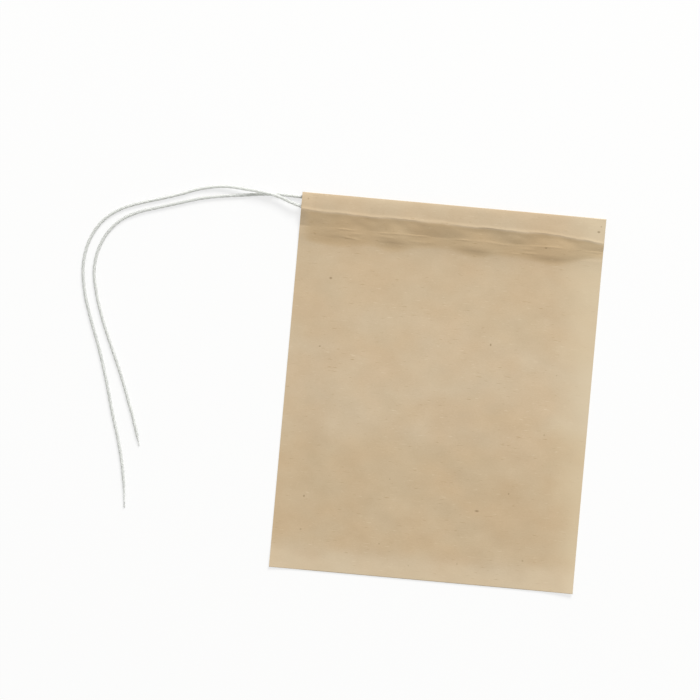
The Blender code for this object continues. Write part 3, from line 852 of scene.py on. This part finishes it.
def thin_fibres(roots, aims, lengths, bends, thickness):
    """Loose fibres as three-sided threads: each runs from its root along its aim, is bent sideways by
    the square of the way along, and narrows to a point."""
    steps = np.linspace(0.0, 1.0, 6)
    middle = (roots[:, None] + aims[:, None] * (lengths[:, None] * steps)[..., None]
              + bends[:, None] * (lengths[:, None] * steps ** 2)[..., None])
    across = unit(np.cross(aims, (0.31, 0.27, 0.91)))
    over = np.cross(aims, across)
    angles = (2 * np.pi * np.arange(3) / 3)[:, None]
    ring = across[:, None] * np.cos(angles) + over[:, None] * np.sin(angles)
    thin = thickness / 2 * (1.0 - 0.75 * steps)
    points = middle[:, :, None] + ring[:, None] * thin[:, None, None]
    points[..., 2] = np.maximum(points[..., 2], 0.012 * MM)
    one = grid_faces(len(steps), 3, wrap=True)
    per = len(steps) * 3
    starts = np.arange(len(roots)) * per
    walls = (one[None] + starts[:, None, None]).reshape(-1, 4).tolist()
    caps = [[s + 2, s + 1, s] for s in starts.tolist()]
    caps += [[s + per - 3, s + per - 2, s + per - 1] for s in starts.tolist()]
    return points.reshape(-1, 3), walls + caps


def loose_fibres(route, taper, seed):
    """Fibres that stand off a free string, rooted just inside its surface, and the tuft at its cut end,
    which spreads round the string's own direction."""
    dice = np.random.default_rng(seed)
    forward, side, up = directions(route)
    count = int(yarn().hairs_per_metre * run_of(route)[-1])
    at = dice.integers(12, len(route) - 4, count)
    angle = dice.uniform(-0.25 * np.pi, 1.25 * np.pi, count)
    out = side[at] * np.cos(angle)[:, None] + up[at] * np.sin(angle)[:, None]
    roots = route[at] + out * (yarn().diameter * 0.46 * taper[at])[:, None]
    along = dice.choice((-1.0, 1.0), count) * dice.uniform(0.5, 1.3, count)
    aims = unit(out * dice.uniform(0.25, 1.0, count)[:, None] + forward[at] * along[:, None])
    bends = np.clip(dice.normal(0.0, 0.3, (count, 3)), -0.5, 0.5)
    hairs = thin_fibres(roots, aims, dice.uniform(0.4, 1.3, count) * MM, bends, HAIR_THICKNESS)

    spread = dice.normal(0.0, 1.0, (TUFT_FIBRES, 2))
    sideways = side[-1] * spread[:, :1]
    roots = route[-1] + (sideways + up[-1] * spread[:, 1:]) * (0.10 * yarn().diameter * taper[-1])
    aims = unit(forward[-1] + sideways * 0.07 + up[-1] * (spread[:, 1:] * 0.05 - 0.05))
    bends = (side[-1] * dice.normal(0.0, 0.10, (TUFT_FIBRES, 1))
             - up[-1] * dice.uniform(0.0, 0.12, (TUFT_FIBRES, 1)))
    ends = thin_fibres(roots, aims, dice.uniform(0.5, 1.5, TUFT_FIBRES) * MM, bends, TUFT_THICKNESS)
    return hairs, ends


def make_yarn(name, tube, fibres, material, node):
    """One piece from a tube, the core, and its loose fibres. Light soaks only into the core."""
    points, faces, uv, groove = tube
    for threads, walls in fibres:
        faces += [[corner + len(points) for corner in wall] for wall in walls]
        points = np.concatenate((points, threads))
    item = new_piece(name, points, faces, material, node)
    spare = len(points) - len(uv)
    uv = np.concatenate((uv, np.zeros((spare, 2))))
    corners = np.zeros(len(item.data.loops), int)
    item.data.loops.foreach_get("vertex_index", corners)
    item.data.uv_layers.new(name="yarn").data.foreach_set("uv", uv[corners].astype(np.float32).ravel())
    add_attribute(item.data, "groove", np.concatenate((groove, np.zeros(spare))))
    add_attribute(item.data, "core", np.concatenate((np.ones(len(groove)), np.zeros(spare))))
    return item


def string_routes(hem_route, tail_route, floor_height):
    """A string's route in its hem, from the right edge to 2.5 mm inside the left edge, and the route
    of its free tail from there on. Both are cut from one smooth curve, which is set down on the
    channel's floor over the last 3 mm before the tail's start and all the way inside."""
    across, down = np.array(hem_route).T
    edge = HALF_WIDTH - 0.05 * MM
    xs = np.concatenate(([edge], (across - 0.5) * BAG_WIDTH))
    drops = np.concatenate(([line_drop(hem_line(hem_route), edge)], down * CHANNEL_DEPTH))

    def lying(x, drop):
        """Height of the string's middle where it lies on the channel's floor."""
        return floor_height(x, drop) + paper().thickness / 2 + STRING_CLEARANCE + string_height(x) / 2

    hem = np.column_stack((xs, TOP - drops, lying(xs, drops)))
    tail = np.array(tail_route) * MM + (-HALF_WIDTH, TOP, 0.0)
    route = smooth_route(np.concatenate((hem, tail)), YARN_STEP)
    inside = ease((route[:, 0] + HALF_WIDTH) / (3.0 * MM))
    route[:, 2] += (lying(route[:, 0], TOP - route[:, 1]) - route[:, 2]) * inside
    outside = yarn().diameter / 2 + STRING_CLEARANCE
    free = route[:, 0] < -HALF_WIDTH
    route[free, 2] = np.maximum(route[free, 2], outside)
    split = int(np.argmax(route[:, 0] < -HALF_WIDTH + 2.5 * MM))
    return route[:split + 3], route[split:]


def make_string(name, hem_route, tail_route, floor_height, thin_end, seed, material):
    """A string as two pieces: the run that is held in its hem, and the free tail, a cord."""
    hem, tail = string_routes(hem_route, tail_route, floor_height)
    tube = yarn_tube(hem, string_height(hem[:, 0]), 0.0, np.ones(len(hem)))
    make_yarn(name + "_in_hem", tube, (), material, name)
    turn = 2 * np.pi * run_of(hem)[-3] / yarn().pitch
    to_end = run_of(tail)[-1] - run_of(tail)
    taper = 1.0 - 0.5 * (1.0 - ease(to_end / thin_end))
    height = np.where(tail[:, 0] > -HALF_WIDTH, string_height(tail[:, 0]), yarn().diameter)
    tube = yarn_tube(tail, height, turn, taper)
    item = make_yarn(name + "_tail", tube, loose_fibres(tail, taper, seed), material, name)


class TEABAG_OT_make_paper(bpy.types.Operator):
    """Fold the sheet of filter paper into the bag"""

    bl_idname = "tea_bag.make_paper"
    bl_label = "Make Paper Bag"

    def execute(self, context):
        surface, pressed, browned = sheet_surface()
        rows, columns = surface.shape[:2]
        item = new_piece("folded_filter_paper", surface.reshape(-1, 3), grid_faces(rows, columns).tolist(),
                         unbleached_filter_paper(), "paper_bag")
        # Shares of the paler seals and folds with painted light, and of painted shade
        add_attribute(item.data, "pressed", pressed)
        add_attribute(item.data, "browned", browned)
        sharpen_rim(item.data, rows, columns)
        solid = item.modifiers.new("paper thickness", "SOLIDIFY")
        solid.thickness = paper().thickness
        solid.offset = 0.0
        return {"FINISHED"}


class TEABAG_OT_make_strings(bpy.types.Operator):
    """Lay a string in each hem and its free tail beside the bag"""

    bl_idname = "tea_bag.make_strings"
    bl_label = "Make Strings"

    def execute(self, context):
        cotton = bleached_cotton_yarn()
        make_string("front_string", FRONT_HEM_ROUTE, FRONT_TAIL_ROUTE, front_flap_height,
                    8.0 * MM, 71, cotton)
        make_string("back_string", BACK_HEM_ROUTE, BACK_TAIL_ROUTE, back_ply_height,
                    2.0 * MM, 72, cotton)
        return {"FINISHED"}


class TEABAG_OT_make_stage(bpy.types.Operator):
    """Set the white table, the lamp and the camera"""

    bl_idname = "tea_bag.make_stage"
    bl_label = "Make Stage"

    def execute(self, context):
        scene = context.scene
        stage = scene.tea_bag_stage
        scene.view_settings.view_transform = "Standard"
        camera = put("camera", bpy.data.cameras.new("camera"))
        camera.location = (*PICTURE_MIDDLE, stage.camera_height)
        camera.rotation_euler = (0.0, 0.0, PICTURE_TURN)
        camera.data.sensor_width = SENSOR_WIDTH_MM
        camera.data.lens = SENSOR_WIDTH_MM * (stage.camera_height - MM) / PICTURE_WIDTH
        scene.camera = camera

        material, tree = new_material("white_table_paint")
        paint = add_node(tree, "BsdfDiffuse", {"Color": linear("#F4F4F2")})
        glow = add_node(tree, "Emission", {"Color": (1, 1, 1, 1), "Strength": 1.0})
        seen = add_node(tree, "Math", {0: seen_ray(tree), 1: TABLE_GLOW}, operation="MULTIPLY")
        both = add_node(tree, "MixShader", {
            0: seen.outputs[0], 1: paint.outputs[0], 2: glow.outputs[0]})
        add_node(tree, "OutputMaterial", {"Surface": both.outputs[0]})
        mesh = bpy.data.meshes.new("table_top")
        corners = [(x * TABLE_REACH, y * TABLE_REACH, -0.02 * MM)
                   for x, y in ((-1, -1), (1, -1), (1, 1), (-1, 1))]
        mesh.from_pydata(corners, [], [(0, 1, 2, 3)])
        mesh.materials.append(material)
        put("table_top", mesh)

        lamp = bpy.data.lights.new("key", "AREA")
        lamp.energy = stage.key_power
        lamp.size = KEY_SIZE
        key = put("key", lamp)
        level = KEY_DISTANCE * math.cos(KEY_HEIGHT)
        key.location = (level * math.sin(KEY_TURN), level * math.cos(KEY_TURN),
                        KEY_DISTANCE * math.sin(KEY_HEIGHT))
        key.rotation_euler = Vector(key.location).to_track_quat("Z", "Y").to_euler()
        key.visible_camera = False

        world = bpy.data.worlds.new("room")
        world.use_nodes = True
        world.node_tree.nodes.clear()
        tree = world.node_tree
        room = add_node(tree, "Background", {"Color": (1, 1, 1, 1), "Strength": stage.sky_strength})
        white = add_node(tree, "Background", {"Color": (1, 1, 1, 1), "Strength": 1.0})
        both = add_node(tree, "MixShader", {
            0: seen_ray(tree), 1: room.outputs[0], 2: white.outputs[0]})
        add_node(tree, "OutputWorld", {"Surface": both.outputs[0]})
        scene.world = world
        return {"FINISHED"}


class TEABAG_PT_panel(bpy.types.Panel):
    """Sizes, colours and buttons of the tea filter bag"""

    bl_idname = "TEABAG_PT_panel"
    bl_label = "Tea Filter Bag"
    bl_space_type = "VIEW_3D"
    bl_region_type = "UI"
    bl_category = "Tea Bag"

    def draw(self, context):
        for group, operator in (("tea_bag_paper", "tea_bag.make_paper"),
                                ("tea_bag_string", "tea_bag.make_strings"),
                                ("tea_bag_stage", "tea_bag.make_stage")):
            settings = getattr(context.scene, group)
            column = self.layout.column()
            for name in settings.__annotations__:
                column.prop(settings, name)
            column.operator(operator)


CLASSES = (
    TeaBagPaperSettings, TeaBagStringSettings, TeaBagStageSettings, TEABAG_OT_make_paper,
    TEABAG_OT_make_strings, TEABAG_OT_make_stage, TEABAG_PT_panel,
)


def register():
    """Add the settings, the operators and the panel to Blender."""
    for entry in CLASSES:
        bpy.utils.register_class(entry)
    bpy.types.Scene.tea_bag_paper = bpy.props.PointerProperty(type=TeaBagPaperSettings)
    bpy.types.Scene.tea_bag_string = bpy.props.PointerProperty(type=TeaBagStringSettings)
    bpy.types.Scene.tea_bag_stage = bpy.props.PointerProperty(type=TeaBagStageSettings)


def unregister():
    """Take them out again."""
    del bpy.types.Scene.tea_bag_stage
    del bpy.types.Scene.tea_bag_string
    del bpy.types.Scene.tea_bag_paper
    for entry in reversed(CLASSES):
        bpy.utils.unregister_class(entry)


def main():
    """Build the bag, its strings and the stage."""
    register()
    bpy.ops.tea_bag.make_stage()
    bpy.ops.tea_bag.make_paper()
    bpy.ops.tea_bag.make_strings()


if __name__ == "__main__":
    main()
